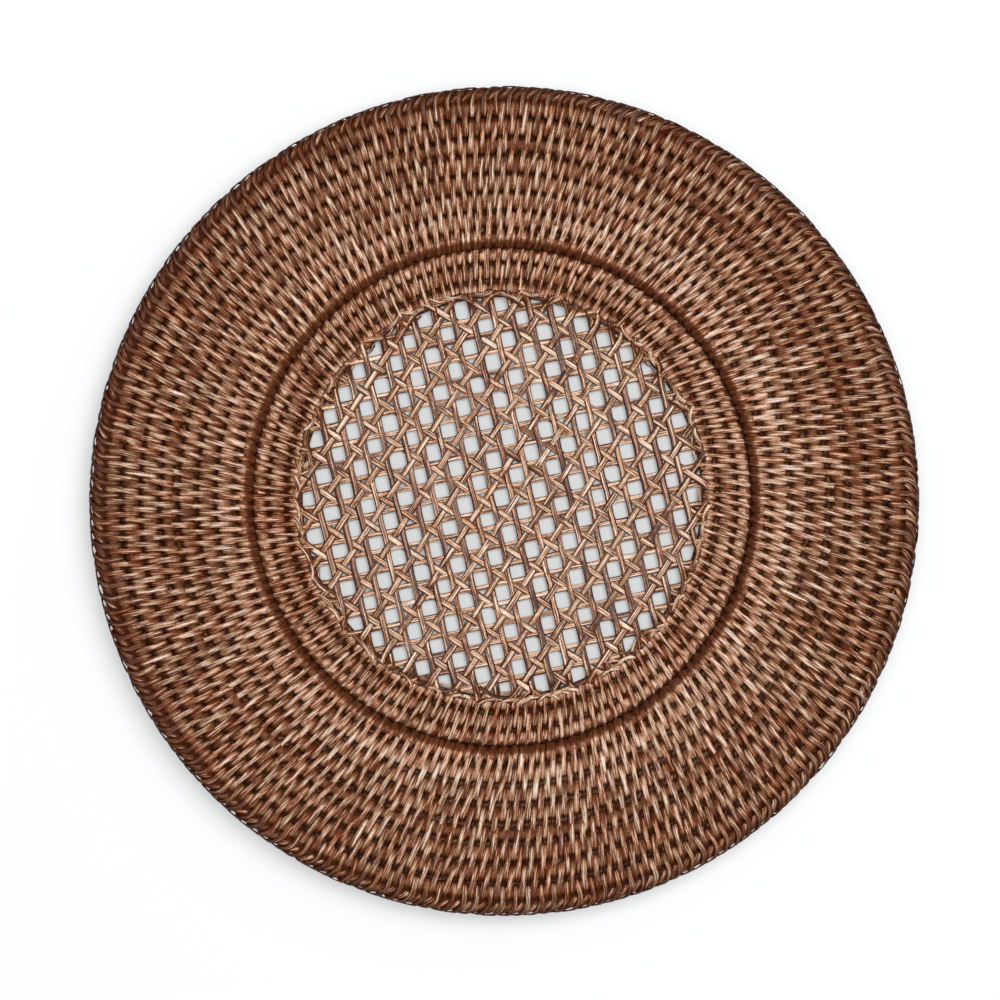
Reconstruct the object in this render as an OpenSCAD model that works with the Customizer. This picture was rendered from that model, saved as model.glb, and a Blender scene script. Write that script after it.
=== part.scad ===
// Round charger plate of coiled rattan with a cane net in its well.
// Rattan rods are bent into closed hoops. Each hoop is bound with split rattan peel
// and stitched to the hoop inside it, and a braid closes the outer edge.
// Origin: on the table, under the centre of the braid. +Z is up, and lengths are in mm.

/* [Well] */
// Clear width of the cane net inside the first bound hoop
net_d = 160; // [100:1:220]
// Number of bound hoops round the cane net
well_rows = 3; // [1:1:5]
// Thickness of the rattan rods in the well
well_hoop_d = 5; // [3:0.1:8]
// Depth of the flat that the well bindings stand on
foot_flat = 0.5; // [0.2:0.05:0.55]

/* [Rim] */
// Number of bound hoops in the rim
rim_rows = 8; // [2:1:12]
// Thickness of the rattan rods in the rim
rim_hoop_d = 5.8; // [3:0.1:8]
// Climb from the last well hoop to the first rim hoop, in degrees
step_angle = 30; // [0:1:60]
// Slope of the rim where it leaves its first hoop, in degrees
rim_start_angle = 3; // [0:1:15]
// Slope of the rim at its outer edge, in degrees
rim_end_angle = 20; // [15:1:40]

/* [Binding] */
// Thickness of the split peel that is wound round the hoops
strip_t = 0.7; // [0.6:0.05:1.2]
// Slack between a hoop and the peel round it
binding_slack = 0.1; // [0.05:0.05:0.3]
// Space left between one bound row and the next
row_gap = 0.1; // [0.05:0.05:0.6]

/* [Edge] */
// Thickness of the braid round the edge
braid_d = 5.2; // [3:0.1:9]

/* [Cane net] */
// Distance between the middles of two neighbouring upright strands
strand_pitch = 7.6; // [5:0.1:14]
// Width of a cane strand
strand_w = 2.2; // [1:0.1:3]
// Thickness of a cane strand
strand_t = 0.5; // [0.3:0.05:0.7]
// Space between the strand ends and the binding that catches them
strand_end_gap = 0.2; // [0.1:0.05:0.5]
// Turn of the net in the plate, in degrees
net_turn = 12; // [0:1:45]

/* [Hand-made drift] */
// Sideways shift of the well from the centre of the edge
well_shift_x = -0.9; // [-2:0.1:2]
// Forward shift of the well from the centre of the edge
well_shift_y = 1.8; // [-2:0.1:2]

/* [Hidden] */
$fn = 120;
// One length by which every cut runs past what it cuts
overrun = 1;
// The drift fades out by one equal step from row to row, up to the braid
drift_steps = rim_rows + 1;
drift_step = norm([well_shift_x, well_shift_y]) / drift_steps;
row_space = row_gap + drift_step;
// Outer radius of a bound hoop
well_bound_r = well_hoop_d / 2 + binding_slack + strip_t;
rim_bound_r = rim_hoop_d / 2 + binding_slack + strip_t;
// The well bindings stand on their flats
well_z = well_bound_r - foot_flat;
// The net lies at half the height of the hoop that holds it, in four layers of strands
strand_layers = 4;
net_z = well_z - strand_layers * strand_t / 2;
net_r = net_d / 2 - strand_end_gap;
diagonal_pitch = strand_pitch * sqrt(2);

// Radius of the middle of a well hoop, counted from the net outwards
function well_r(row) = net_d / 2 + well_bound_r + (row - 1) * (2 * well_bound_r + row_space);

// Slope of the line from the hoop inside to this rim hoop: a step, then a rim that steepens
function rim_slope(row) =
  row == 1
    ? step_angle
    : rim_start_angle + (rim_end_angle - rim_start_angle) * (row - 2) / max(1, rim_rows - 2);

// Length of that line
function rim_reach(row) = (row == 1 ? well_bound_r : rim_bound_r) + rim_bound_r + row_space;

// Radius and height of the middle of a rim hoop
function rim_r(row) =
  row == 0 ? well_r(well_rows) : rim_r(row - 1) + rim_reach(row) * cos(rim_slope(row));
function rim_z(row) =
  row == 0 ? well_z : rim_z(row - 1) + rim_reach(row) * sin(rim_slope(row));

// Share of the well's shift that a rim row still has
function drift_share(row) = 1 - row / drift_steps;

// Turns a flat section into a closed ring, shifted by its share of the drift
module ring(radius, height, share) {
  translate([share * well_shift_x, share * well_shift_y, height])
    rotate_extrude()
      translate([radius, 0])
        children();
}

// Section of the peel wound round a rod, cut flat below where it stands
module binding_section(hoop_d, flat = 0) {
  outer_r = hoop_d / 2 + binding_slack + strip_t;
  difference() {
    circle(r = outer_r);
    circle(r = hoop_d / 2 + binding_slack);
    if (flat > 0)
      translate([-outer_r, -outer_r - overrun])
        square([2 * outer_r, flat + overrun]);
  }
}

// One set of parallel strands in its own layer, trimmed to the round of the first hoop
module cane_strands(pitch, layer, turn) {
  count = floor((net_r - strand_w / 2) / pitch + 1 / 2);
  translate([well_shift_x, well_shift_y, net_z + layer * strand_t])
    rotate(net_turn + turn)
      intersection() {
        cylinder(r = net_r, h = strand_t);
        for (side = [-1, 1], number = [1 : count])
          translate([side * (number - 1 / 2) * pitch - strand_w / 2, -net_r, 0])
            cube([strand_w, 2 * net_r, strand_t]);
      }
}

module well_hoop(row) {
  color("#7a543b")
    ring(well_r(row), well_z, 1)
      circle(d = well_hoop_d);
}

module rim_hoop(row) {
  color("#7a543b")
    ring(rim_r(row), rim_z(row), drift_share(row))
      circle(d = rim_hoop_d);
}

module well_binding(row) {
  color("#8f654b")
    ring(well_r(row), well_z, 1)
      binding_section(well_hoop_d, foot_flat);
}

module rim_binding(row) {
  color("#8f654b")
    ring(rim_r(row), rim_z(row), drift_share(row))
      binding_section(rim_hoop_d);
}

module cane_crossways() {
  color("#a47c60")
    cane_strands(strand_pitch, 0, 90);
}

module cane_uprights() {
  color("#ab8367")
    cane_strands(strand_pitch, 1, 0);
}

module cane_rising_diagonals() {
  color("#a47c60")
    cane_strands(diagonal_pitch, 2, -45);
}

module cane_falling_diagonals() {
  color("#ab8367")
    cane_strands(diagonal_pitch, 3, 45);
}

// The braid follows the last rim row, along the slope of the outer edge
module edge_braid() {
  reach = rim_bound_r + row_space + braid_d / 2;
  color("#6b4531")
    ring(rim_r(rim_rows) + reach * cos(rim_end_angle), rim_z(rim_rows) + reach * sin(rim_end_angle), 0)
      circle(d = braid_d);
}

for (row = [1 : well_rows])
  well_hoop(row);
for (row = [1 : rim_rows])
  rim_hoop(row);
for (row = [1 : well_rows])
  well_binding(row);
for (row = [1 : rim_rows])
  rim_binding(row);
cane_crossways();
cane_uprights();
cane_rising_diagonals();
cane_falling_diagonals();
edge_braid();
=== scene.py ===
import math
import random

import bmesh
import bpy
from mathutils import Matrix, Vector


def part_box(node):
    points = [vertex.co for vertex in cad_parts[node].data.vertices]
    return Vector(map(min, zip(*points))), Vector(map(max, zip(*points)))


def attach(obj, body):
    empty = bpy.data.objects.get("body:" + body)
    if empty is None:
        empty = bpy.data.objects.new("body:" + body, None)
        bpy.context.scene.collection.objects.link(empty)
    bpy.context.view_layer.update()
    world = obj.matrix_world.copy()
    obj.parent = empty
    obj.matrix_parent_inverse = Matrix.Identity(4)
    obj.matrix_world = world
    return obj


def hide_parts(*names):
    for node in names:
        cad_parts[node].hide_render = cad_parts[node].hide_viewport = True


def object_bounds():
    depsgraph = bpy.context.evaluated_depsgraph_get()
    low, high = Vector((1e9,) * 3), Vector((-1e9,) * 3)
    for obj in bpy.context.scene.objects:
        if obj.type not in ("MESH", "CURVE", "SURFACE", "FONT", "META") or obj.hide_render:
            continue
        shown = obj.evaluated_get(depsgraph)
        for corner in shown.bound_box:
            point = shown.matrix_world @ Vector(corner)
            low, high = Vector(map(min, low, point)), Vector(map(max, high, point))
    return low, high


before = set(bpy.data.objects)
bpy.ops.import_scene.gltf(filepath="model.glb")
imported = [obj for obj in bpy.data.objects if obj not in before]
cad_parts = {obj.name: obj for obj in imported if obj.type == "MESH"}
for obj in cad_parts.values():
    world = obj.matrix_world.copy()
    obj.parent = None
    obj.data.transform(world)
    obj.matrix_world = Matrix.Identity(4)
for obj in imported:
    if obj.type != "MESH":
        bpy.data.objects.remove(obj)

cad_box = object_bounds()
bpy.ops.object.select_all(action="DESELECT")


# Rattan hoops
# Rods of peeled rattan, steamed, bent into closed rings and stained dark brown.
# They show only in the gaps between the turns of peel, so the imported solids stay.
# The rods' sides are painted darker than their tops, as painted shade in those gaps.
MM = 0.001
WELL_ROWS = 3
RIM_ROWS = 8
PORE_SIZE = 1.2 * MM
PORE_DEPTH = 0.2 * MM
# Browns of the rods' sides, stain darkened as painted shade, and of their tops
SHADED_ROD_BROWNS = [(0.3, "#3c1a0a"), (0.7, "#592a14")]
ROD_TOP_BROWNS = [(0.3, "#603620"), (0.7, "#8a5a3c")]
# How far up a surface faces where the top colour starts over the painted shade of the sides, and where
# only the top colour shows
TOP_STARTS = 0.8
TOP_ONLY = 0.98


class Hoop:
    """Where one hoop lies: its middle, ring radius and height, its rod, and the peel round it."""

    def __init__(self, part, row):
        low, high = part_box(f"{part}_hoop_{row}")
        bound_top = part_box(f"{part}_binding_{row}")[1].z
        self.middle = (low + high) / 2
        self.rod = (high.z - low.z) / 2
        self.radius = (high.x - low.x) / 2 - self.rod
        self.peel = bound_top - high.z
        self.wrap = self.rod + self.peel / 2


def linear(hex_colour):
    """An sRGB hex colour as the linear colour that a shader takes."""
    channels = [int(hex_colour[i:i + 2], 16) / 255 for i in (1, 3, 5)]
    return [c / 12.92 if c <= 0.04045 else ((c + 0.055) / 1.055) ** 2.4 for c in channels] + [1]


def add_node(tree, kind, inputs=None, **settings):
    """Adds one shader node with its settings. An input is a value or another node's output."""
    node = tree.nodes.new(kind)
    for name, value in settings.items():
        setattr(node, name, value)
    for name, value in (inputs or {}).items():
        if isinstance(value, bpy.types.NodeSocket):
            tree.links.new(value, node.inputs[name])
        else:
            node.inputs[name].default_value = value
    return node


def colour_steps(ramp_node, steps):
    """Sets the colours of a ramp from pairs of place and hex colour."""
    ramp = ramp_node.color_ramp
    while len(ramp.elements) < len(steps):
        ramp.elements.new(1)
    for element, (place, colour) in zip(ramp.elements, steps):
        element.position = place
        element.color = linear(colour)


def rattan_rod_painted_shade(name, top_browns):
    """Peeled rattan, sanded and stained: dull, with fine pores that take the stain. Its sides are painted
    darker than its top, as painted shade down in the gaps, and its top takes the browns given."""
    material = bpy.data.materials.new(name)
    material.use_nodes = True
    tree = material.node_tree
    shader = tree.nodes["Principled BSDF"]
    place = add_node(tree, "ShaderNodeTexCoord")
    pores = add_node(
        tree, "ShaderNodeTexNoise",
        {"Vector": place.outputs["Object"], "Scale": 1 / PORE_SIZE, "Detail": 5})
    # Painted shade: the sides take the darker browns, the top the browns given
    stain_and_shade = add_node(tree, "ShaderNodeValToRGB", {"Fac": pores.outputs["Fac"]})
    colour_steps(stain_and_shade, SHADED_ROD_BROWNS)
    light_and_shade = add_node(tree, "ShaderNodeValToRGB", {"Fac": pores.outputs["Fac"]})
    colour_steps(light_and_shade, top_browns)
    surface = add_node(tree, "ShaderNodeNewGeometry")
    facing = add_node(tree, "ShaderNodeSeparateXYZ", {"Vector": surface.outputs["Normal"]})
    top = add_node(
        tree, "ShaderNodeMapRange",
        {"Value": facing.outputs["Z"], "From Min": TOP_STARTS, "From Max": TOP_ONLY})
    colour = add_node(
        tree, "ShaderNodeMix",
        {"Factor": top.outputs["Result"], "A": stain_and_shade.outputs["Color"], "B": light_and_shade.outputs["Color"]},
        data_type="RGBA")
    bump = add_node(
        tree, "ShaderNodeBump",
        {"Height": pores.outputs["Fac"], "Strength": 0.4, "Distance": PORE_DEPTH})
    tree.links.new(colour.outputs["Result"], shader.inputs["Base Color"])
    tree.links.new(bump.outputs["Normal"], shader.inputs["Normal"])
    shader.inputs["Roughness"].default_value = 0.7
    shader.inputs["Specular IOR Level"].default_value = 0.12
    return material


well_hoops = [Hoop("well", row) for row in range(1, WELL_ROWS + 1)]
rim_hoops = [Hoop("rim", row) for row in range(1, RIM_ROWS + 1)]
rod_material = rattan_rod_painted_shade("rattan_rod_painted_shade", ROD_TOP_BROWNS)
for name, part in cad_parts.items():
    if "_hoop_" in name:
        part.data.materials.clear()
        part.data.materials.append(rod_material)


# Well bindings
# Split rattan peel, about 2 mm wide, flat inside and rounded outside, stained and lightly polished.
# Each turn goes round one hoop and the hoop inside it, between the turns of that hoop.
WELL_PEEL_WIDTH = 2.35 * MM
WELL_ROW_WIDTHS = {2: 0.8, 3: 1}
WELL_TURNS = 137
WELL_TINT = 0.05
# The section of the peel: its corners, which of them bound its flats, and how much wider these are drawn
PEEL_SIDES = 6
FLAT_REACH = 0.4
FLAT_STRETCH = 1.3
# Shares of the peel's width at the sides of the hoops, on the crown between them, and below them
PINCHED = 0.7
CROWN = 0.79
SPREAD_BELOW = 1.6
# How far the peel goes round a hoop from below it, up its side, and over it
BELOW_ANGLE = math.radians(75)
SIDE_ANGLE = math.radians(35)
OVER_ANGLE = math.radians(70)
# Both ends of a turn lap below the hoops, one over the other, and a later row lies over an earlier one
LAP_BELOW = 2.1 * MM
LAP_OVER = 0.35 * MM
LAP_ANGLE = 0.8
LATER_OVER = 0.6 * MM
# Lean of the turns in degrees: its mean, how much more it is at the right, and its change between
MEAN_LEAN = 8.5
RIGHT_LEAN = 3
LEAN_CHANGE = 1.5
MOST_LEAN_PLACE = -0.4
# How far the hand strays from turn to turn, in place, lean, height, width and shade of stain
PLACE_SLIP = 0.12
PLACE_JITTER = 0.0012
LEAN_JITTER = 2
HEIGHT_JITTER = 0.05 * MM
WIDTH_SHARES = (0.88, 1.1)
MEAN_SHADE = 0.5
SHADE_SPREAD = 0.22
# Painted light across the plate: how much paler the turns are towards one side, darker opposite, and
# where they are palest
PAINTED_SIDE_LIGHT = 0.2
PALEST_PLACE = math.radians(-25)
chance = random.Random(11)


def start_peel(width, thickness, place, heading):
    """Starts a strip of peel as its six-sided section, at a place and square to its heading."""
    bpy.ops.object.select_all(action="DESELECT")
    across = Vector((0, 1, 0))
    upward = heading.cross(across)
    turned = Matrix((across, upward, heading)).transposed().to_euler()
    bpy.ops.mesh.primitive_circle_add(
        vertices=PEEL_SIDES, radius=width / 2, location=place, rotation=turned)
    strip = bpy.context.object
    flatness = thickness / width / math.sin(math.radians(60))
    strip.scale = (1, flatness, 1)
    bpy.ops.object.transform_apply(location=True, rotation=True, scale=True)
    for vertex in strip.data.vertices:
        aside = vertex.co.y - place.y
        if abs(aside) < FLAT_REACH * width:
            vertex.co.y = place.y + FLAT_STRETCH * aside
    bpy.ops.object.mode_set(mode="EDIT")
    bpy.ops.mesh.select_all(action="SELECT")
    return strip


def run_peel(step):
    """Draws the end of the strip straight on."""
    bpy.ops.mesh.extrude_region_move(TRANSFORM_OT_translate={"value": step})


def pinch_peel(share):
    """Makes the end of the strip narrower or wider."""
    bpy.ops.transform.resize(value=(1, share, 1))


def wrap_peel(middle, angle, steps):
    """Bends the end of the strip round a rod. A positive angle rolls from up to outward."""
    bpy.ops.mesh.spin(steps=steps, angle=-angle, center=middle, axis=(0, 1, 0))


def finish_peel(strip):
    """Closes both ends of the strip and turns its faces outward."""
    bpy.ops.mesh.select_all(action="SELECT")
    bpy.ops.mesh.remove_doubles(threshold=0.01 * MM)
    bpy.ops.mesh.fill_holes(sides=PEEL_SIDES)
    bpy.ops.mesh.select_all(action="SELECT")
    bpy.ops.mesh.normals_make_consistent(inside=False)
    bpy.ops.object.mode_set(mode="OBJECT")
    bpy.ops.object.shade_smooth()
    return strip


def mark_fibres(strip, reach, lap):
    """Notes on each point how far along and across the strip it lies, for the fibre pattern.
    Both ends of the strip lie aside by the lap, below the hoops."""
    fibres = strip.data.attributes.new("fibres", "FLOAT_VECTOR", "POINT")
    for vertex, mark in zip(strip.data.vertices, fibres.data):
        turned = math.atan2(vertex.co.x, vertex.co.z)
        aside = vertex.co.y
        if abs(turned) > math.pi - LAP_ANGLE:
            turned -= math.copysign(2 * math.pi, turned)
            aside -= math.copysign(lap, turned)
        mark.vector = (turned * reach / MM, aside / MM, 0)


def two_hoop_turn(inner, outer, width, pitch):
    """One turn of peel round two hoops, which lie along x. It moves on by a pitch below them."""
    span = (outer.radius - inner.radius, outer.middle.z - inner.middle.z)
    half = math.hypot(*span) / 2
    wrap = (inner.wrap + outer.wrap) / 2
    near, far = (-half, 0, 0), (half, 0, 0)
    strip = start_peel(
        width * SPREAD_BELOW, outer.peel, Vector((LAP_BELOW, -pitch / 2, -wrap)), Vector((-1, 0, 0)))
    run_peel((-half - LAP_BELOW, pitch / 2, 0))
    pinch_peel(PINCHED / SPREAD_BELOW)
    wrap_peel(near, BELOW_ANGLE, steps=2)
    wrap_peel(near, SIDE_ANGLE, steps=1)
    pinch_peel(1 / PINCHED)
    wrap_peel(near, OVER_ANGLE, steps=2)
    run_peel((half, 0, 0))
    pinch_peel(CROWN)
    run_peel((half, 0, 0))
    pinch_peel(1 / CROWN)
    wrap_peel(far, OVER_ANGLE, steps=2)
    wrap_peel(far, SIDE_ANGLE, steps=1)
    pinch_peel(PINCHED)
    wrap_peel(far, BELOW_ANGLE, steps=2)
    run_peel((-half - LAP_BELOW, pitch / 2, -LAP_OVER))
    pinch_peel(SPREAD_BELOW / PINCHED)
    finish_peel(strip)
    mark_fibres(strip, half + wrap, pitch / 2)
    return strip


def one_hoop_turn(hoop, width):
    """One turn of peel round a single hoop."""
    strip = start_peel(width, hoop.peel, Vector((0, 0, -hoop.wrap)), Vector((-1, 0, 0)))
    wrap_peel((0, 0, 0), 2 * math.pi, steps=10)
    finish_peel(strip)
    mark_fibres(strip, hoop.wrap, lap=0)
    return strip


def lean_at(place):
    """How far the outer end of a turn leans clockwise."""
    rightward = RIGHT_LEAN * math.cos(place - MOST_LEAN_PLACE)
    return math.radians(MEAN_LEAN + rightward + LEAN_CHANGE * math.sin(3 * place))


def spread(count):
    """Even places round the plate, each moved a little by hand."""
    step = 2 * math.pi / count
    return [step * (number + chance.uniform(-PLACE_SLIP, PLACE_SLIP)) for number in range(count)]


def between(places, drift):
    """Places between the turns of the row inside, moved on by their lean over a share of the radius."""
    laid = []
    for number, here in enumerate(places):
        gap = (places[(number + 1) % len(places)] - here) % (2 * math.pi)
        place = here + gap / 2
        laid.append(place - drift * math.tan(lean_at(place)) + chance.gauss(0, PLACE_JITTER))
    return laid


def lay_turns(
        name, turn, middle, radius, height, climb, places, tint, upright=False, painted_side_light=PAINTED_SIDE_LIGHT):
    """Copies one modelled turn to every place round the plate, each with its own lean and shade.
    Painted light makes the turns paler towards the lower right and darker opposite."""
    row = bmesh.new()
    for place in places:
        lean = math.radians(chance.gauss(0, LEAN_JITTER)) + (0 if upright else lean_at(place))
        matrix = (
            Matrix.Translation((middle.x, middle.y, 0))
            @ Matrix.Rotation(place, 4, "Z")
            @ Matrix.Translation((radius, 0, height + chance.gauss(0, HEIGHT_JITTER)))
            @ Matrix.Rotation(-climb, 4, "Y")
            @ Matrix.Rotation(-lean, 4, "Z")
            @ Matrix.Diagonal((1, chance.uniform(*WIDTH_SHARES), 1, 1)))
        copy = turn.data.copy()
        copy.transform(matrix)
        # Painted light: paler towards the lower right, darker opposite
        shade = MEAN_SHADE + tint + painted_side_light * math.cos(place - PALEST_PLACE)
        seed = chance.gauss(shade, SHADE_SPREAD)
        for mark in copy.attributes["fibres"].data:
            mark.vector.z = seed
        row.from_mesh(copy)
        bpy.data.meshes.remove(copy)
    mesh = bpy.data.meshes.new(name)
    row.to_mesh(mesh)
    row.free()
    bpy.data.objects.remove(turn)
    piece = bpy.data.objects.new(name, mesh)
    bpy.context.collection.objects.link(piece)
    return piece


def rest_flat(piece):
    """Presses what would reach below the table flat against it."""
    pressed = 0.3 * MM
    for vertex in piece.data.vertices:
        if vertex.co.z < pressed:
            vertex.co.z = pressed * math.exp(vertex.co.z / pressed - 1)


# The painted light and shade of a strip is given by its place along the strip in mm, up to this far from
# its middle
SHADING_REACH = 24
# Layers of fibres: how many to the mm along and across the strip, and how much each changes the brown
FIBRE_LAYERS = [(0.4, 0.6, 0.45), (0.1, 1.9, 2.3), (0.14, 3.4, 2), (1.6, 2.2, 0.9)]
FIBRE_DEPTH = 0.5 * MM
# How far the fibre pattern moves on, and the brown changes, from one shade of strip to the next
SHADE_MOVES_ON = 97
SHADE_SHARE = 0.25
# Browns of the painted shade along the edges of a strip and where it dives
PAINTED_SHADE_BROWNS = ("#4a2411", "#764127")


def stained_peel(
        name, colours, width, light_and_shade, edge_start=0.8, edge_depth=0.4, streaks=1, shade_browns=PAINTED_SHADE_BROWNS):
    """Split rattan peel, stained and rubbed with wax: long fine fibres, and no two turns the same brown.
    Painted shade darkens its edges and where it dives; painted light makes it paler and glossier where it
    stands highest."""
    material = bpy.data.materials.new(name)
    material.use_nodes = True
    tree = material.node_tree
    shader = tree.nodes["Principled BSDF"]
    marks = add_node(tree, "ShaderNodeAttribute", attribute_name="fibres")
    parts = add_node(tree, "ShaderNodeSeparateXYZ", {"Vector": marks.outputs["Vector"]})
    along, across, seed = parts.outputs
    # Painted light and shade along the strip: paler where it stands highest, darker where it dives
    painted_light_place = add_node(
        tree, "ShaderNodeMapRange", {"Value": along, "From Min": -SHADING_REACH, "From Max": SHADING_REACH})
    painted_light = add_node(tree, "ShaderNodeValToRGB", {"Fac": painted_light_place.outputs["Result"]})
    colour_steps(painted_light, [(0.5 + place / 2 / SHADING_REACH, shade) for place, shade in light_and_shade])
    shade = add_node(
        tree, "ShaderNodeMath", {0: seed, 1: SHADE_SHARE, 2: -SHADE_SHARE / 2}, operation="MULTIPLY_ADD")
    shade = add_node(tree, "ShaderNodeMath", {0: shade.outputs[0], 1: painted_light.outputs["Color"]})
    layers = []
    for along_scale, across_scale, strength in FIBRE_LAYERS:
        strength *= streaks
        stretched = add_node(
            tree, "ShaderNodeVectorMath",
            {0: marks.outputs["Vector"], 1: (along_scale, across_scale, SHADE_MOVES_ON)},
            operation="MULTIPLY")
        layer = add_node(
            tree, "ShaderNodeTexNoise", {"Vector": stretched.outputs["Vector"], "Scale": 1, "Detail": 2})
        layers.append(layer)
        change = add_node(
            tree, "ShaderNodeMath",
            {0: layer.outputs["Fac"], 1: strength, 2: -strength / 2}, operation="MULTIPLY_ADD")
        shade = add_node(tree, "ShaderNodeMath", {0: shade.outputs[0], 1: change.outputs[0]})
    colour = add_node(tree, "ShaderNodeValToRGB", {"Fac": shade.outputs[0]})
    colour_steps(colour, colours)
    batch = add_node(tree, "ShaderNodeTexWhiteNoise", {"W": seed}, noise_dimensions="1D")
    hue = add_node(
        tree, "ShaderNodeMapRange", {"Value": batch.outputs["Value"], "To Min": 0.495, "To Max": 0.506})
    strong = add_node(
        tree, "ShaderNodeMapRange", {"Value": batch.outputs["Value"], "To Min": 1.06, "To Max": 0.9})
    varied = add_node(
        tree, "ShaderNodeHueSaturation",
        {"Hue": hue.outputs["Result"], "Saturation": strong.outputs["Result"],
         "Color": colour.outputs["Color"]})
    # Painted shade along both edges of the strip
    aside = add_node(
        tree, "ShaderNodeMath", {0: across, 1: 2 * MM / width}, operation="MULTIPLY")
    aside = add_node(tree, "ShaderNodeMath", {0: aside.outputs[0]}, operation="ABSOLUTE")
    edge = add_node(
        tree, "ShaderNodeMapRange",
        {"Value": aside.outputs[0], "From Min": edge_start, "From Max": 1, "To Min": 0,
         "To Max": edge_depth})
    # Painted shade where the strip dives, where the painted light is lowest
    dive = add_node(
        tree, "ShaderNodeMapRange",
        {"Value": painted_light.outputs["Color"], "From Min": 0, "From Max": 0.14, "To Min": 0.95, "To Max": 0})
    dark = add_node(
        tree, "ShaderNodeMath",
        {0: edge.outputs["Result"], 1: dive.outputs["Result"]}, operation="MAXIMUM")
    fibre = layers[1].outputs["Fac"]
    shade_colour = add_node(tree, "ShaderNodeValToRGB", {"Fac": fibre})
    colour_steps(shade_colour, [(0.35, shade_browns[0]), (0.65, shade_browns[1])])
    stained_and_shaded = add_node(
        tree, "ShaderNodeMix",
        {"Factor": dark.outputs[0], "A": varied.outputs["Color"], "B": shade_colour.outputs["Color"]},
        data_type="RGBA")
    rough = add_node(
        tree, "ShaderNodeMapRange",
        {"Value": fibre, "From Min": 0.3, "From Max": 0.7, "To Min": 0.44, "To Max": 0.28})
    # The gloss follows the same painted light
    gloss = add_node(
        tree, "ShaderNodeMapRange", {"Value": painted_light.outputs["Color"], "To Min": 0.1, "To Max": 0.8})
    bump = add_node(
        tree, "ShaderNodeBump", {"Height": fibre, "Strength": 0.8, "Distance": FIBRE_DEPTH})
    tree.links.new(stained_and_shaded.outputs["Result"], shader.inputs["Base Color"])
    tree.links.new(rough.outputs["Result"], shader.inputs["Roughness"])
    tree.links.new(gloss.outputs["Result"], shader.inputs["Specular IOR Level"])
    tree.links.new(bump.outputs["Normal"], shader.inputs["Normal"])
    return material


WELL_BROWNS = [
    (0.0, "#652f17"), (0.28, "#a56a46"), (0.52, "#cd9a76"), (0.78, "#e6bb9f"), (1.0, "#f8d8c6")]
# Painted light and shade along each kind of well turn, in mm along it: painted highlights where it stands
# highest, painted shade where it dives and in the groove
WELL_PAINTED_LIGHT = [
    (-15, "#606060"), (-9.0, "#000000"), (-7.6, "#888888"), (-5.4, "#a8a8a8"), (-3.4, "#747474"),
    (-1.2, "#747474"), (2.5, "#9c9c9c"), (5.2, "#ababab"), (7.2, "#949494"), (8.8, "#000000"),
    (15, "#606060")]
FIRST_PAINTED_LIGHT = [
    (-4.2, "#000000"), (-2.4, "#6c6c6c"), (-0.6, "#b8b8b8"), (0.6, "#a8a8a8"), (2.2, "#000000")]
GROOVE_PAINTED_LIGHT = [
    (-15, "#606060"), (-9.2, "#000000"), (-7.8, "#6c6c6c"), (-5.8, "#8c8c8c"), (-2.8, "#a2a2a2"),
    (1.2, "#9e9e9e"), (4.5, "#989898"), (6.2, "#b4b4b4"), (9.0, "#d0d0d0"), (10.6, "#000000"),
    (15, "#606060")]
first_peel = stained_peel("stained_split_peel_inmost", WELL_BROWNS, WELL_PEEL_WIDTH, FIRST_PAINTED_LIGHT)
well_peel = stained_peel("stained_split_peel_fine", WELL_BROWNS, WELL_PEEL_WIDTH, WELL_PAINTED_LIGHT)
groove_peel = stained_peel("stained_split_peel_groove", WELL_BROWNS, WELL_PEEL_WIDTH, GROOVE_PAINTED_LIGHT)


def dress(piece, material, slot, *nodes):
    """Gives a finished piece its material and its body, and hides the nodes it stands for. Its slot is
    not used.
    """
    piece.data.materials.append(material)
    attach(piece, "root")
    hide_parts(*nodes)


places = spread(WELL_TURNS)
first = well_hoops[0]
binding = lay_turns(
    "first_well_peel", one_hoop_turn(first, WELL_PEEL_WIDTH), first.middle, first.radius,
    first.middle.z, climb=0, places=places, tint=0)
rest_flat(binding)
dress(binding, first_peel, "rattan_peel", "well_binding_1")


def bind_rows(name, inner, outer, width, places, tint, over=LATER_OVER, painted_side_light=PAINTED_SIDE_LIGHT):
    """Lays the turns that bind one hoop to the hoop inside it, over the turns laid before."""
    pitch = (inner.radius + outer.radius) * math.pi / len(places)
    middle = (inner.middle + outer.middle) / 2
    rise = outer.middle.z - inner.middle.z - over
    climb = math.atan2(rise, outer.radius - inner.radius)
    turn = two_hoop_turn(inner, outer, width, pitch)
    radius = (inner.radius + outer.radius) / 2
    return lay_turns(name, turn, middle, radius, middle.z, climb, places, tint, painted_side_light=painted_side_light)


def drift_between(inner, outer):
    """The share of the radius by which a lean of 45 degrees moves turns on from row to row."""
    return (outer.radius - inner.radius) / inner.radius


for row, share in WELL_ROW_WIDTHS.items():
    inner, outer = well_hoops[row - 2], well_hoops[row - 1]
    places = between(places, drift_between(inner, outer))
    binding = bind_rows(f"well_peel_{row}", inner, outer, share * WELL_PEEL_WIDTH, places, WELL_TINT)
    rest_flat(binding)
    dress(binding, groove_peel if row == WELL_ROWS else well_peel, "rattan_peel", f"well_binding_{row}")


# Ridge lashing
# The same peel, laid in a figure of eight round the last well hoop and the first rim hoop. It crosses
# between them, so the rim stands up from the well. A thin dark core below closes the groove.
# The core below the groove is coloured dark all over, as painted shade in the groove.
LASHING_WIDTH = 2.6 * MM
LASHING_TINT = 0.1
LOOP_STEPS = 9
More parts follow.
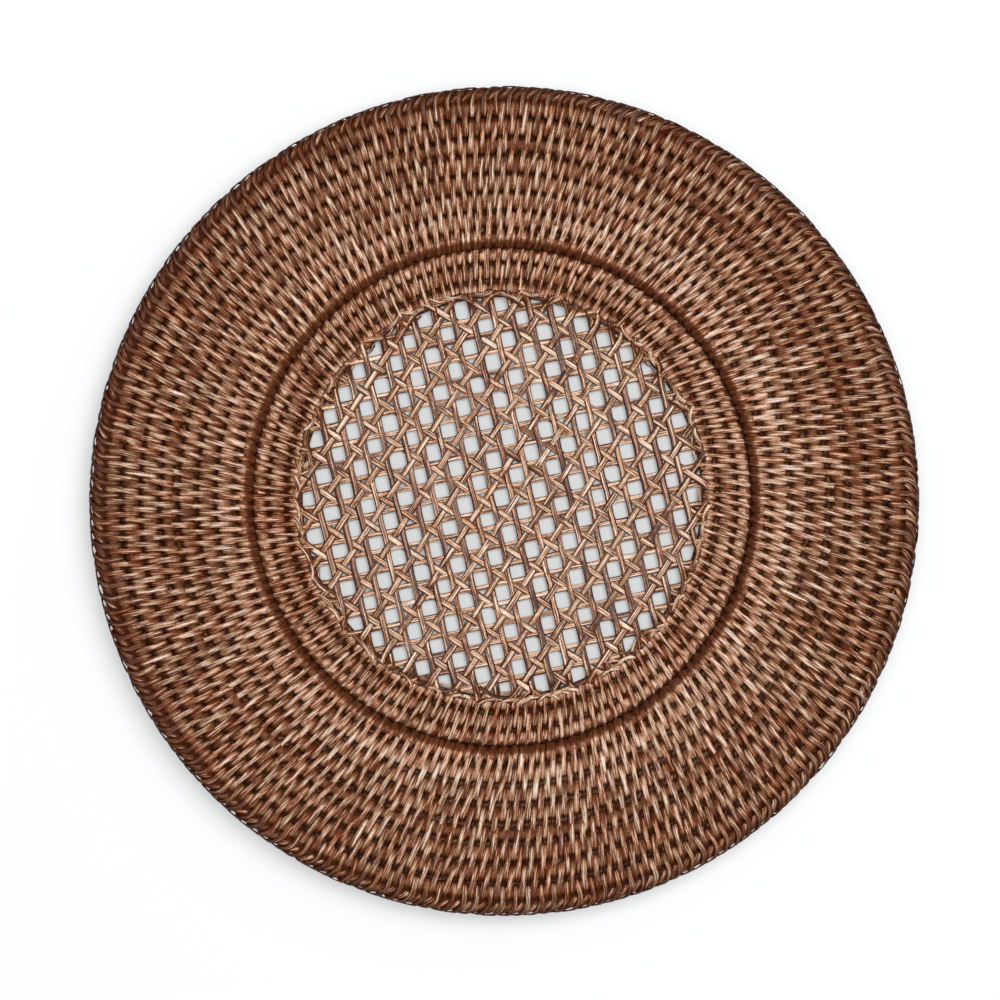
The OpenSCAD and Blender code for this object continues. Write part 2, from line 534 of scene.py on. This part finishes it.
# Painted light and shade along the lashing: painted highlights over both hoops, painted shade where it
# crosses down in the groove
LASHING_PAINTED_LIGHT = [
    (-5, "#000000"), (-3, "#a4a4a4"), (-2, "#b0b0b0"), (-1.2, "#606060"), (-0.6, "#000000"),
    (3.4, "#000000"), (4.2, "#303030"), (5.0, "#6c6c6c"), (5.7, "#b0b0b0"), (6.6, "#808080"),
    (7.6, "#404040")]
FILLER_HEIGHT = 2.1 * MM
FILLER_RADIUS = 1.2 * MM
# Browns of the tops of the thin cores, darker still, as painted shade below the strips
SHADED_CORE_BROWNS = [(0.3, "#2c1308"), (0.7, "#40200f")]
CORE_SEGMENTS = 240


def figure_eight_turn(inner, outer, width, pitch):
    """One turn of peel that crosses over between two hoops, which lie along x."""
    half = math.hypot(outer.radius - inner.radius, outer.middle.z - inner.middle.z) / 2
    outer_wrap = outer.wrap + LATER_OVER / 3
    spread_angle = math.acos((inner.wrap + outer_wrap) / (2 * half))
    rise = Vector((math.cos(spread_angle), 0, math.sin(spread_angle)))
    fall = Vector((rise.x, 0, -rise.z))
    near, far = Vector((-half, 0, 0)), Vector((half, 0, 0))
    crossing = near + (far - near) * inner.wrap / (inner.wrap + outer_wrap)
    aside = Vector((0, pitch / 4, 0))
    onto_inner = near + inner.wrap * rise - crossing
    over_to_outer = (far - outer_wrap * fall) - (near + inner.wrap * fall)
    back = crossing - (far - outer_wrap * rise)
    loop = 2 * (math.pi - spread_angle)
    strip = start_peel(width, outer.peel, crossing - aside, onto_inner.normalized())
    run_peel(onto_inner + aside)
    wrap_peel(near, -loop, LOOP_STEPS)
    run_peel(over_to_outer + 2 * aside)
    wrap_peel(far, loop, LOOP_STEPS)
    run_peel(back + aside)
    finish_peel(strip)
    fibres = strip.data.attributes.new("fibres", "FLOAT_VECTOR", "POINT")
    for vertex, mark in zip(strip.data.vertices, fibres.data):
        moved_on = 2 * aside.y if vertex.co.x > crossing.x else 0
        if abs(vertex.co.x - crossing.x) < outer.peel / 2:
            moved_on = -aside.y if vertex.co.y < aside.y / 4 else 3 * aside.y
        mark.vector = (vertex.co.x / MM, (vertex.co.y - moved_on) / MM, 0)
    return strip


def hidden_core(name, middle, radius, rod, sides=8, flatness=1):
    """A thin core of rattan laid round below the strips, which closes the gaps between them."""
    bpy.ops.object.select_all(action="DESELECT")
    bpy.ops.mesh.primitive_torus_add(
        location=middle, major_radius=radius, minor_radius=rod,
        major_segments=CORE_SEGMENTS, minor_segments=sides)
    core = bpy.context.object
    core.scale.z = flatness
    bpy.ops.object.transform_apply(location=True, scale=True)
    bpy.ops.object.shade_smooth()
    core.name = name
    return core


lashing_peel = stained_peel(
    "stained_split_peel_lashed", WELL_BROWNS, LASHING_WIDTH, LASHING_PAINTED_LIGHT, edge_start=0.6, edge_depth=0.8)
inner, outer = well_hoops[-1], rim_hoops[0]
places = between(places, drift_between(inner, outer))
pitch = (inner.radius + outer.radius) * math.pi / len(places)
groove_middle = (inner.middle + outer.middle) / 2
groove_radius = (inner.radius + outer.radius) / 2
groove_climb = math.atan2(outer.middle.z - inner.middle.z, outer.radius - inner.radius)
lashing = lay_turns(
    "ridge_lashing", figure_eight_turn(inner, outer, LASHING_WIDTH, pitch), groove_middle,
    groove_radius, groove_middle.z, groove_climb, places, LASHING_TINT)
rest_flat(lashing)
dress(lashing, lashing_peel, "rattan_peel", "rim_binding_1")
filler = hidden_core(
    "groove_filler", (groove_middle.x, groove_middle.y, FILLER_HEIGHT), groove_radius, FILLER_RADIUS)
# All the thin cores are painted dark, as shade below and between the strips
core_shade_material = rattan_rod_painted_shade("rattan_core_painted_shade", SHADED_CORE_BROWNS)
dress(filler, core_shade_material, "rattan_peel", "rim_binding_1")


# Rim bindings
# Wider peel round the rim hoops, each turn over a hoop and the hoop inside it.
# A few turns are added from row to row, so that they stay about 5 mm apart as the rim widens.
RIM_PEEL_WIDTH = 2.75 * MM
ROW_TINTS = [0.3, 0.5, 0.2, 0.1, -0.1, -0.2, -0.2]
RIDGE_ROW = 2
# Rows out to this one take the painted side light
LAST_SIDE_LIT_ROW = 5
# Rows with a stretch of closer turns: its first and last degree, and its turns as a share of those inside
CLOSER_LAID = {
    2: (0, 360, 1.145), 3: (50, 165, 1.17), 5: (10, 50, 1.22), 6: (165, 370, 1.22), 7: (10, 105, 1.1)}
EVENING_ROUNDS = 3
EVENING_SHARE = 0.25
PEEL_BROWNS = [
    (0.0, "#652f17"), (0.28, "#a56e4a"), (0.52, "#cd9f7d"), (0.78, "#e6c2a8"), (1.0, "#f8e0d2")]
# Painted light and shade along each rim turn, in mm along it: paler over the crossing and the crests,
# painted shade where it dives between the hoops
PEEL_PAINTED_LIGHT = [
    (-15, "#606060"), (-9.0, "#000000"), (-7.6, "#505050"), (-5.6, "#767676"), (-2.8, "#a0a0a0"),
    (1.2, "#a0a0a0"), (5.2, "#7c7c7c"), (7.5, "#6c6c6c"), (9.0, "#000000"), (15, "#606060")]
RIDGE_PAINTED_LIGHT = [
    (-15, "#606060"), (-10, "#000000"), (-6.4, "#000000"), (-4.6, "#949494"), (-1.8, "#a8a8a8"),
    (1.2, "#a8a8a8"), (6.1, "#b0b0b0"), (8.3, "#949494"), (9.7, "#000000"), (15, "#606060")]


def closer(places, first_degree, last_degree, share):
    """Lays the turns of one stretch afresh, closer together, because each row is longer than the last."""
    start = math.radians(first_degree)
    length = math.radians(last_degree - first_degree)
    kept = [place for place in places if (place - start) % (2 * math.pi) >= length]
    count = round((len(places) - len(kept)) * share)
    added = [start + length * (number + 0.5) / count for number in range(count)]
    laid = sorted(place % (2 * math.pi) for place in kept + added)
    for _ in range(EVENING_ROUNDS):
        gaps = [(ahead - here) % (2 * math.pi) for here, ahead in zip(laid, laid[1:] + laid[:1])]
        laid = [
            here + EVENING_SHARE * (gaps[number] - gaps[number - 1]) for number, here in enumerate(laid)]
    return laid


rim_peel = stained_peel("stained_split_peel", PEEL_BROWNS, RIM_PEEL_WIDTH, PEEL_PAINTED_LIGHT)
ridge_peel = stained_peel("stained_split_peel_ridge", WELL_BROWNS, RIM_PEEL_WIDTH, RIDGE_PAINTED_LIGHT)
for row, tint in enumerate(ROW_TINTS, start=RIDGE_ROW):
    inner, outer = rim_hoops[row - 2], rim_hoops[row - 1]
    places = between(places, drift_between(inner, outer))
    if row in CLOSER_LAID:
        places = closer(places, *CLOSER_LAID[row])
    over = -LATER_OVER if row == RIDGE_ROW else LATER_OVER
    painted_side_light = PAINTED_SIDE_LIGHT if row <= LAST_SIDE_LIT_ROW else 0
    binding = bind_rows(f"rim_peel_{row}", inner, outer, RIM_PEEL_WIDTH, places, tint, over, painted_side_light)
    dress(binding, ridge_peel if row == RIDGE_ROW else rim_peel, "rattan_peel", f"rim_binding_{row}")


# Edge braid
# A false braid of the same peel over a dark core. One strip of each pair comes up over the last hoop,
# bends along the edge and dives below the next. The other comes up between them and ends under a bend.
BRAID_WIDTH = 2.1 * MM
BRAID_THICKNESS = 0.6 * MM
# Stations of a strip in mm: out from the last hoop, clockwise along it and up, then how far it faces
# outward and up
LOOP_ROUTE = [
    (-3.3, 0.0, 0.0, -1.0, 0.0), (-2.4, 0.0, 2.3, -0.7, 0.7), (0.0, 0.0, 3.35, 0.0, 1.0),
    (2.6, 0.0, 3.5, 0.0, 1.0), (4.6, 0.2, 3.5, 0.1, 1.0), (6.0, 0.9, 3.6, 0.5, 0.85),
    (7.1, 1.9, 3.7, 0.85, 0.6), (7.95, 3.2, 3.6, 0.9, 0.5), (8.3, 4.8, 3.1, 0.9, 0.4),
    (8.35, 6.4, 2.3, 1.0, 0.2), (8.0, 7.9, 1.3, 0.9, -0.3), (6.9, 9.1, 0.4, 0.4, -0.9),
    (4.2, 9.7, -0.8, 0.3, -1.0), (1.0, 9.7, -3.1, 0.0, -1.0)]
TICK_ROUTE = [
    (2.9, 1.6, -0.6, -0.9, 0.3), (3.3, 1.8, 1.2, -0.8, 0.5), (4.1, 2.3, 2.8, -0.5, 0.9),
    (5.1, 3.3, 3.5, 0.0, 1.0), (6.1, 4.6, 3.3, 0.2, 1.0), (6.9, 6.0, 2.7, 0.5, 0.9),
    (7.3, 7.3, 1.9, 0.7, 0.6), (7.0, 8.4, 1.0, 0.6, 0.3), (5.8, 9.2, 0.4, 0.0, -1.0)]
# Each kind of strip: its name, its route, where its painted light and shade starts and its tint
BRAID_STRIPS = [("braid_loops", LOOP_ROUTE, -6, -0.1), ("braid_ticks", TICK_ROUTE, -5, -0.6)]
ROUTE_STEPS = 2
# Corners of a strip's section, as shares of its width and thickness
STRIP_SECTION = [(0.5, 0), (0.33, 0.5), (-0.33, 0.5), (-0.5, 0), (-0.33, -0.5), (0.33, -0.5)]
# Painted side light on the braid, stronger than on the rows
BRAID_PAINTED_SIDE_LIGHT = 0.6
# Painted shade on the braid: dark browns at the edges and where the strips dive, and darker along the
# arcs down over the edge
BRAID_PAINTED_SHADE_BROWNS = ("#2a130a", "#5a3420")
BRAID_PAINTED_LIGHT = [
    (-4.5, "#000000"), (-1.8, "#7c7c7c"), (-0.6, "#707070"), (1.4, "#585858"), (4.5, "#505050"),
    (9, "#000000")]
# The braid core below is coloured dark, as painted shade between the strips.
BRAID_CORE_SHIFT = (0.3 * MM, 0.18 * MM)
BRAID_CORE_UP = 1.1 * MM
BRAID_CORE_OUT = 5.25 * MM
BRAID_CORE_ROD = 2.6 * MM
BRAID_CORE_FLATNESS = 0.8


def smooth_route(route, steps):
    """Stations of a route with more stations eased in between them."""
    ends = [route[0]] + route + [route[-1]]
    eased = []
    for before, here, ahead, beyond in zip(ends, ends[1:], ends[2:], ends[3:]):
        for step in range(steps):
            t = step / steps
            eased.append([
                0.5 * (2 * b + (c - a) * t + (2 * a - 5 * b + 4 * c - d) * t * t
                       + (3 * b - a - 3 * c + d) * t * t * t)
                for a, b, c, d in zip(before, here, ahead, beyond)])
    eased.append(list(route[-1]))
    return eased


def routed_peel(name, route, width, thickness, start):
    """A strip of peel along a route of places out, clockwise and up, each with the way it faces."""
    stations = smooth_route(route, ROUTE_STEPS)
    places = [Vector((out, -on, up)) * MM for out, on, up, _, _ in stations]
    mesh = bmesh.new()
    rings = []
    for number, (_, _, _, face_out, face_up) in enumerate(stations):
        heading = places[min(number + 1, len(places) - 1)] - places[max(number - 1, 0)]
        heading.normalize()
        face = Vector((face_out, 0, face_up))
        face -= heading * face.dot(heading)
        face.normalize()
        aside = heading.cross(face)
        rings.append([
            mesh.verts.new(places[number] + aside * side * width + face * lift * thickness)
            for side, lift in STRIP_SECTION])
    for ring, following in zip(rings, rings[1:]):
        for corner in range(PEEL_SIDES):
            mesh.faces.new((ring[corner - 1], ring[corner], following[corner], following[corner - 1]))
    mesh.faces.new(rings[0])
    mesh.faces.new(rings[-1])
    bmesh.ops.recalc_face_normals(mesh, faces=mesh.faces)
    strip = bpy.data.objects.new(name, bpy.data.meshes.new(name))
    mesh.to_mesh(strip.data)
    mesh.free()
    strip.data.shade_smooth()
    fibres = strip.data.attributes.new("fibres", "FLOAT_VECTOR", "POINT")
    run = 0
    for number in range(len(stations)):
        run += (places[number] - places[max(number - 1, 0)]).length
        for corner, (side, _) in enumerate(STRIP_SECTION):
            mark = fibres.data[PEEL_SIDES * number + corner]
            mark.vector = (run / MM + start, side * width / MM, 0)
    return strip


def join_strips(strips, name):
    """Makes one piece of separate strips."""
    bpy.ops.object.select_all(action="DESELECT")
    for strip in strips:
        strip.select_set(True)
    bpy.context.view_layer.objects.active = strips[0]
    bpy.ops.object.join()
    strips[0].name = name
    return strips[0]


braid_peel = stained_peel(
    "stained_split_peel_braided", PEEL_BROWNS, RIM_PEEL_WIDTH, BRAID_PAINTED_LIGHT, edge_start=0.5,
    edge_depth=0.8, shade_browns=BRAID_PAINTED_SHADE_BROWNS)
last = rim_hoops[-1]
edge_low, edge_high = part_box("edge_braid")
edge_middle = (edge_low + edge_high) / 2
edge_reach = min(edge_high.x - edge_low.x, edge_high.y - edge_low.y) / 2


def even_edge(piece):
    """Presses what would stand out past the edge back to it."""
    pressed = 0.15 * MM
    for vertex in piece.data.vertices:
        out = (vertex.co - edge_middle).xy
        past = out.length - edge_reach + pressed
        if past > 0:
            kept = edge_reach - pressed * math.exp(-past / pressed)
            vertex.co.xy = edge_middle.xy + out * kept / out.length


places = between(places, drift_between(rim_hoops[-2], last) / 2)
braid_parts = []
for name, route, start, tint in BRAID_STRIPS:
    strip = routed_peel(name + "_strip", route, BRAID_WIDTH, BRAID_THICKNESS, start)
    braid_parts.append(lay_turns(
        name, strip, edge_middle, last.radius, last.middle.z, climb=0, places=places, tint=tint,
        upright=True, painted_side_light=BRAID_PAINTED_SIDE_LIGHT))
core_middle = (
    edge_middle.x + BRAID_CORE_SHIFT[0], edge_middle.y + BRAID_CORE_SHIFT[1],
    last.middle.z + BRAID_CORE_UP)
core = hidden_core(
    "braid_core", core_middle, last.radius + BRAID_CORE_OUT, BRAID_CORE_ROD, sides=10,
    flatness=BRAID_CORE_FLATNESS)
dress(core, core_shade_material, "braided_peel", "edge_braid")
braid = join_strips(braid_parts, "edge_braid_strips")
even_edge(braid)
dress(braid, braid_peel, "braided_peel", "edge_braid")


# Cane net
# Split cane strands across the well, flat below and rounded above, in four directions.
# Uprights lie over crossways. One set of diagonals runs over their crossings, the other below.
STRAND_PITCH = 7.6 * MM
CROSSWAY_WIDTH = 1.75 * MM
UPRIGHT_WIDTH = 2.2 * MM
DIAGONAL_WIDTH = 2.45 * MM
NET_LAYERS = 4
NET_TURN = math.radians(12)
STRAND_STATIONS = 96
STRAND_SIDES = 4
# Shares of a strand's thickness: its wall, its crown, half the step between layers, and its wave
STRAND_WALL = 0.7
STRAND_CROWN = 0.45
HALF_LAYER = 0.5
STRAND_WAVE = 0.3
# How the ends climb over the inner hoop: distances from the middle of the net, then the form of the slope
SLOPE_START = 76.0 * MM
SLOPE_END = 81.2 * MM
TUCK_START = 82.2 * MM
STRAND_END = 83.6 * MM
STRAND_LIFT = 0.35 * MM
SLOPE_CURVE = 1.5
TUCK_SLOPE = 1.3
UNWAVED_CLIMB = 2 * MM
END_SWELL = 0.25
SWELL_CURVE = 4
# How far the hand strays from strand to strand
WIDTH_CUTS = (0.93, 1.07)
STRAND_BOW = 0.3 * MM
STRAND_SKEW = 0.003
STRAND_SHIFT = 0.2 * MM
STRAND_RIPPLE = 0.1 * MM
RIPPLE_LENGTH = 9 * MM
STRAND_SWAY = 0.18 * MM
BENT_END = 6.0 * MM
END_BEND = 0.5
CANE_TANS = [
    (0.0, "#461c06"), (0.25, "#8a4c26"), (0.5, "#be8354"), (0.75, "#e6b892"), (1.0, "#fee0c8")]
# Painted shade on the cane: dark browns along the strand edges, and strands darker as they climb past the
# net onto the hoop
CANE_PAINTED_SHADE_BROWNS = ("#2e1104", "#5e2d16")
CANE_PAINTED_LIGHT = [(-3, "#bcbcbc"), (-0.5, "#b0b0b0"), (1.5, "#888888"), (3.2, "#484848")]
net_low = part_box("cane_crossways")[0].z
net_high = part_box("cane_falling_diagonals")[1].z
strand_thickness = (net_high - net_low) / NET_LAYERS
net_level = (net_low + net_high) / 2
net_radius = first.radius - first.rod - first.peel
diagonal_spacing = STRAND_PITCH * math.sqrt(2)


def shoulder(out):
    """How far a strand has climbed over the inner hoop, at a distance from the middle of the net."""
    if out < SLOPE_START:
        return 0
    rounded = first.rod + first.peel
    inside = first.radius - max(out, SLOPE_END)
    top = math.sqrt(rounded ** 2 - inside ** 2) + STRAND_LIFT
    share = min(1, (out - SLOPE_START) / (SLOPE_END - SLOPE_START))
    tucked = max(0, out - TUCK_START) * TUCK_SLOPE
    return top * share ** SLOPE_CURVE - tucked


def cane_strand(aside, turn, height_at, width, sway, tint):
    """One strand: a long grid, crowned, waved over and under, its ends climbing over the inner hoop."""
    reach = math.sqrt(STRAND_END ** 2 - aside ** 2)
    bpy.ops.object.select_all(action="DESELECT")
    bpy.ops.mesh.primitive_grid_add(
        x_subdivisions=STRAND_STATIONS, y_subdivisions=STRAND_SIDES, size=2)
    strand = bpy.context.object
    bow = chance.gauss(0, STRAND_BOW)
    skew = chance.gauss(0, STRAND_SKEW)
    shift = chance.gauss(0, STRAND_SHIFT)
    phase = chance.uniform(0, 2 * math.pi)
    bends = {side: chance.uniform(-END_BEND, END_BEND) for side in (-1, 1)}
    seed = chance.gauss(MEAN_SHADE + tint, SHADE_SPREAD)
    fibres = strand.data.attributes.new("fibres", "FLOAT_VECTOR", "POINT")
    for vertex, mark in zip(strand.data.vertices, fibres.data):
        along = vertex.co.x * reach
        crowding = min(1, math.hypot(along, aside) / net_radius) ** SWELL_CURVE
        across = vertex.co.y * width / 2 * (1 + END_SWELL * crowding)
        ripple = STRAND_RIPPLE * math.sin(along / RIPPLE_LENGTH + phase)
        waist = sway * math.sin(math.pi * aside / STRAND_PITCH) * math.cos(math.pi * along / STRAND_PITCH)
        near_end = max(0, BENT_END - reach + abs(along))
        bend = bends[math.copysign(1, along)] * near_end ** 2 / BENT_END
        wander = shift + skew * along + bow * (1 - vertex.co.x ** 2) + ripple + waist + bend
        crown = strand_thickness * STRAND_CROWN * (1 - vertex.co.y ** 2)
        out = math.hypot(along, aside + wander)
        climb = shoulder(min(out, STRAND_END))
        waved = max(0, 1 - climb / UNWAVED_CLIMB)
        mark.vector = ((out - net_radius) / MM, across / MM, seed)
        vertex.co = (along, across + wander, height_at(along, aside) * waved + crown + climb)
    strand.modifiers.new("wall", "SOLIDIFY")
    strand.modifiers["wall"].thickness = strand_thickness * STRAND_WALL
    strand.modifiers["wall"].offset = 0
    bpy.ops.object.modifier_apply(modifier="wall")
    strand.data.transform(
        Matrix.Translation((first.middle.x, first.middle.y, net_level))
        @ Matrix.Rotation(NET_TURN + turn, 4, "Z")
        @ Matrix.Translation((0, aside, 0)))
    bpy.ops.object.shade_smooth()
    return strand


def strand_set(name, node, spacing, turn, height_at, width, sway, tint):
    """All the strands of one direction, joined as one piece of separate strands."""
    count = math.floor((net_radius - width / 2) / spacing + 0.5)
    strands = []
    for side in (-1, 1):
        for number in range(count):
            aside = side * (number + 0.5) * spacing
            cut = width * chance.uniform(*WIDTH_CUTS)
            strands.append(cane_strand(aside, turn, height_at, cut, sway, tint))
    dress(join_strips(strands, name), cane_material, "cane", node)


def crossway_height(along, aside):
    """Below the uprights, up and down as the diagonals press on each second crossing."""
    wave = STRAND_WAVE * math.cos(math.pi * (along - aside) / STRAND_PITCH)
    return strand_thickness * (wave - HALF_LAYER)


def upright_height(along, aside):
    """Above the crossways, up and down with them."""
    wave = STRAND_WAVE * math.cos(math.pi * (along + aside) / STRAND_PITCH)
    return strand_thickness * (wave + HALF_LAYER)


def rising_height(along, aside):
    """Over each crossing of the straight strands, under the other diagonals between."""
    return strand_thickness * (HALF_LAYER + math.cos(2 * math.pi * along / diagonal_spacing))


def falling_height(along, aside):
    """Under each crossing of the straight strands, over the other diagonals between."""
    return -rising_height(along, aside)


cane_material = stained_peel(
    "stained_cane", CANE_TANS, UPRIGHT_WIDTH, CANE_PAINTED_LIGHT, edge_start=0.48, edge_depth=0.95, streaks=1.4,
    shade_browns=CANE_PAINTED_SHADE_BROWNS)
strand_set(
    "cane_crossway_strands", "cane_crossways", STRAND_PITCH, 0, crossway_height,
    CROSSWAY_WIDTH, STRAND_SWAY, tint=0.2)
strand_set(
    "cane_upright_strands", "cane_uprights", STRAND_PITCH, math.pi / 2, upright_height,
    UPRIGHT_WIDTH, STRAND_SWAY, tint=-1.1)
strand_set(
    "cane_rising_strands", "cane_rising_diagonals", diagonal_spacing, math.pi / 4, rising_height,
    DIAGONAL_WIDTH, sway=0, tint=0)
strand_set(
    "cane_falling_strands", "cane_falling_diagonals", diagonal_spacing, -math.pi / 4, falling_height,
    DIAGONAL_WIDTH, sway=0, tint=0.2)


# Cane edging
# A flat strip of dark cane round inside the first hoop, and short ends of cane lapped along the hoop
# over the ends of the strands. All slip below the turns of peel, and a thin dark core lies behind them.
EDGING_RADIUS = 81.2 * MM
EDGING_WIDTH = 1.9 * MM
EDGING_THICKNESS = 0.5 * MM
EDGING_SHADE = 0.2
# Where the edging sits on the cane's painted light and shade: it goes darker and paler by turns, this
# many times round
EDGING_SHADING = 1.2
EDGING_SHADING_CHANGES = 9
# How far the strip lies off the peel of the hoop, and how deep it slips below it, in mm. It slips most at
# the right and left, with dips at uneven places between.
EDGING_LIFT = 0.3
SLIP_DEPTH = 0.8
SLIP_TURN = 0.2
DIP_DEPTH = 0.6
DIP_COUNT = 11
DIP_DRIFT = 2
DIP_DRIFTS = 3
# Each waver of the strip: how far it goes aside, how often round the plate, and where it starts
EDGING_WAVERS = [(0.5 * MM, 3, 1), (0.35 * MM, 8, 0)]
# Shapes of lapped end: its distance from the middle in mm, and its slant outward along the hoop
TUCKED_RUNS = [
    (81.4, -0.25), (81.4, -0.1), (81.2, 0.15), (81.4, 0.28), (78.9, -0.25), (78.7, 0.1), (79.0, 0.3)]
TUCKED_STATIONS = (-5, -4, -2.5, 0, 2.5, 4, 5)
TUCKED_WIDTH = 1.8 * MM
TUCKED_LIFT = 0.6 * MM
TUCKED_BOW = 0.07
TUCKED_DIVE = 0.9 * MM
TUCKED_DIVE_START = 3
TUCKED_FACE = 0.7
# Where the lapped ends start on the cane's painted light and shade
TUCKED_SHADING_START = -8
TUCKED_TINT = 0.4
TUCKED_COUNT = 13
# The lining core behind the edging is coloured dark, as painted shade.
LINING_RADIUS = 80.5 * MM
LINING_HEIGHT = 2.6 * MM
LINING_THICKNESS = 1.2 * MM

bpy.ops.object.select_all(action="DESELECT")
bpy.ops.mesh.primitive_torus_add(
    major_radius=EDGING_RADIUS, minor_radius=EDGING_WIDTH / 2, major_segments=360, minor_segments=8)
edging = bpy.context.object
edging.name = "cane_edging"
fibres = edging.data.attributes.new("fibres", "FLOAT_VECTOR", "POINT")
for vertex, mark in zip(edging.data.vertices, fibres.data):
    place = math.atan2(vertex.co.y, vertex.co.x)
    aside = math.hypot(vertex.co.x, vertex.co.y) - EDGING_RADIUS
    wander = sum(reach * math.sin(times * place + start) for reach, times, start in EDGING_WAVERS)
    dips = DIP_DEPTH * math.sin(DIP_COUNT * place + DIP_DRIFT * math.sin(DIP_DRIFTS * place))
    slip = max(0, SLIP_DEPTH - abs(math.sin(place + SLIP_TURN)) + dips)
    wall = vertex.co.z * EDGING_THICKNESS / EDGING_WIDTH
    off_rod = first.rod + first.peel + (EDGING_LIFT - slip) * MM + wall
    tilt = (first.radius - EDGING_RADIUS - wander - aside) / (first.rod + first.peel)
    out = first.radius - off_rod * math.sin(tilt)
    vertex.co = (out * math.cos(place), out * math.sin(place), off_rod * math.cos(tilt))
    painted_light_place = EDGING_SHADING + EDGING_SHADING * math.sin(EDGING_SHADING_CHANGES * place)
    mark.vector = (painted_light_place, aside / MM, EDGING_SHADE)
edging.data.transform(Matrix.Translation(first.middle))
bpy.ops.object.shade_smooth()
dress(edging, cane_material, "cane", "cane_crossways")


def tucked_route(radius, slant):
    """A short run along the hoop, from below the peel and back below it."""
    rounded = first.rod + first.peel
    route = []
    for on in TUCKED_STATIONS:
        out = radius + (slant * on + TUCKED_BOW * on ** 2) * MM - first.radius
        top = math.sqrt(max(0, rounded ** 2 - out ** 2)) + TUCKED_LIFT
        up = top - TUCKED_DIVE * max(0, abs(on) - TUCKED_DIVE_START)
        route.append((out / MM, on, up / MM, out / rounded, TUCKED_FACE))
    return route


for number, (radius, slant) in enumerate(TUCKED_RUNS, start=1):
    route = tucked_route(radius * MM, slant)
    strip = routed_peel("tucked_strip", route, TUCKED_WIDTH, EDGING_THICKNESS, TUCKED_SHADING_START)
    places = [chance.uniform(0, 2 * math.pi) for _ in range(TUCKED_COUNT)]
    tucked = lay_turns(
        f"tucked_cane_{number}", strip, first.middle, first.radius, first.middle.z, climb=0,
        places=places, tint=TUCKED_TINT, upright=True)
    dress(tucked, cane_material, "cane", "cane_crossways")
lining = hidden_core(
    "net_lining", (first.middle.x, first.middle.y, LINING_HEIGHT), LINING_RADIUS, LINING_THICKNESS / 2)
dress(lining, core_shade_material, "cane", "cane_crossways")


# Table, light and camera
# A plain white table, painted flat, which lies a hair below the plate and glows least right under it, as
# painted shade.
# Soft light comes from the right and from above, and the camera looks straight down.
TABLE_SIZE = 6
TABLE_DROP = 0.1 * MM
TABLE_WHITE = "#cacccd"
# Distances from the middle between which the table's glow grows, and the glow on either side; the weaker
# glow inside is painted shade under the plate
SHADE_EDGES = (0.145, 0.16)
TABLE_GLOW = (0.15, 0.42)
ROOM_LIGHT = 0.25
PLATE_CENTRE_PIXEL = (504.2, 501.0)
PLATE_RADIUS_PIXELS = 415.2
IMAGE_SIDE = 1000
CAMERA_HEIGHT = 1.8
SENSOR = 36

bpy.ops.object.select_all(action="DESELECT")
bpy.ops.mesh.primitive_plane_add(size=TABLE_SIZE, location=(0, 0, -TABLE_DROP))
table = bpy.context.object
table.name = "table"
white = bpy.data.materials.new("white_table")
white.use_nodes = True
tree = white.node_tree
tree.nodes.clear()
light_path = add_node(tree, "ShaderNodeLightPath")
seen = add_node(
    tree, "ShaderNodeMath",
    {0: light_path.outputs["Is Camera Ray"], 1: light_path.outputs["Is Glossy Ray"]},
    operation="MAXIMUM")
seen = add_node(
    tree, "ShaderNodeMath",
    {0: seen.outputs[0], 1: light_path.outputs["Is Transmission Ray"]}, operation="MAXIMUM")
place = add_node(tree, "ShaderNodeTexCoord")
away = add_node(tree, "ShaderNodeVectorMath", {0: place.outputs["Object"]}, operation="LENGTH")
beyond = add_node(
    tree, "ShaderNodeMapRange",
    {"Value": away.outputs["Value"], "From Min": SHADE_EDGES[0], "From Max": SHADE_EDGES[1],
     "To Min": TABLE_GLOW[0], "To Max": TABLE_GLOW[1]})
lift = add_node(
    tree, "ShaderNodeMath", {0: seen.outputs[0], 1: beyond.outputs["Result"]}, operation="MULTIPLY")
paint = add_node(tree, "ShaderNodeBsdfDiffuse", {"Color": linear(TABLE_WHITE)})
glow = add_node(tree, "ShaderNodeEmission", {"Strength": lift.outputs[0]})
both = add_node(tree, "ShaderNodeAddShader", {0: paint.outputs[0], 1: glow.outputs[0]})
add_node(tree, "ShaderNodeOutputMaterial", {"Surface": both.outputs[0]})
table.data.materials.append(white)

world = bpy.data.worlds.new("soft_room")
world.use_nodes = True
world.node_tree.nodes["Background"].inputs["Color"].default_value = (1, 1, 1, 1)
world.node_tree.nodes["Background"].inputs["Strength"].default_value = ROOM_LIGHT
bpy.context.scene.world = world


def softbox(name, place, size, watts):
    """A square soft light that faces the plate."""
    lamp = bpy.data.lights.new(name, "AREA")
    lamp.size = size
    lamp.energy = watts
    lamp_object = bpy.data.objects.new(name, lamp)
    lamp_object.location = place
    lamp_object.rotation_euler = (-Vector(place)).to_track_quat("-Z", "Y").to_euler()
    bpy.context.collection.objects.link(lamp_object)


softbox("window_light", place=(0.42, 0.3, 1.75), size=0.8, watts=15)
softbox("overhead_light", place=(0, 0.1, 2.4), size=1.2, watts=22)

plate_radius = (cad_box[1][0] - cad_box[0][0]) / 2
pixel = plate_radius / PLATE_RADIUS_PIXELS
camera = bpy.data.cameras.new("camera")
camera.sensor_width = SENSOR
camera.lens = SENSOR * (CAMERA_HEIGHT - edge_middle.z) / (pixel * IMAGE_SIDE)
camera_object = bpy.data.objects.new("camera", camera)
camera_object.location = (
    (IMAGE_SIDE / 2 - PLATE_CENTRE_PIXEL[0]) * pixel,
    (PLATE_CENTRE_PIXEL[1] - IMAGE_SIDE / 2) * pixel,
    CAMERA_HEIGHT)
bpy.context.collection.objects.link(camera_object)
bpy.context.scene.camera = camera_object
bpy.context.scene.view_settings.view_transform = "Standard"
